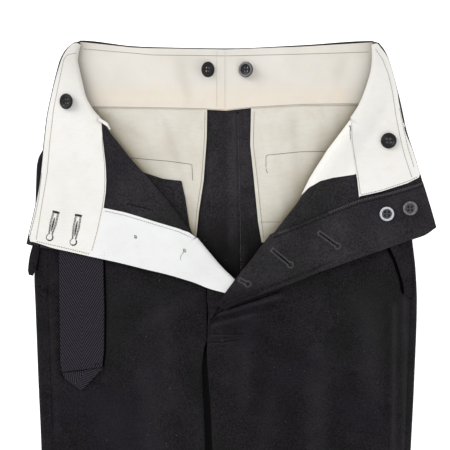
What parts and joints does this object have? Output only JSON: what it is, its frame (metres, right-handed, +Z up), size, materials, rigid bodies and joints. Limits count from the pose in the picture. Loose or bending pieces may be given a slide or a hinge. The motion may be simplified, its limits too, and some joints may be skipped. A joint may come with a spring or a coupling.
{
  "type": "tank crew trousers",
  "caption": "Heavy black wool trousers laid flat, front up, with the fly open and both front corners turned out to show cotton facings, pocket bags and brace buttons.",
  "frame": {"origin": "middle of the laid garment's outline, on the surface it lies on", "axes": "+Y from the hems to the waist, +X from the wearer's right side to the left side, +Z up off the surface"},
  "size_m": [0.4678, 1.0642, 0.0299],
  "materials": {
    "wool_black": "heavy black wool melton with a short matt nap",
    "cotton_cream": "unbleached plain-weave cotton, a little creased",
    "cotton_white": "white plain-weave cotton",
    "herringbone_tape": "black cotton webbing woven in one herringbone V",
    "button_resin": "black four-hole resin, softly polished"
  },
  "bodies": {
    "root": {"right_back": "wool_black", "left_back": "wool_black", "right_front": "wool_black", "left_front": "wool_black", "left_fly_facing": "wool_black", "right_pocket_facing": "wool_black", "left_pocket_flap": "wool_black", "right_pocket_flap": "wool_black", "right_waist_facing": "cotton_cream", "left_waist_facing": "cotton_cream", "left_front_pocket_bag": "cotton_cream", "right_back_lining": "cotton_cream", "left_back_lining": "cotton_cream", "right_pocket_bag": "cotton_cream", "left_pocket_bag": "cotton_cream", "right_fly_facing": "cotton_white", "belt": "herringbone_tape", "right_front_brace_button": "button_resin", "left_front_brace_button": "button_resin", "right_back_brace_button": "button_resin", "left_back_brace_button": "button_resin", "fly_button_upper": "button_resin", "fly_button_outer": "button_resin"}
  },
  "joints": []
}
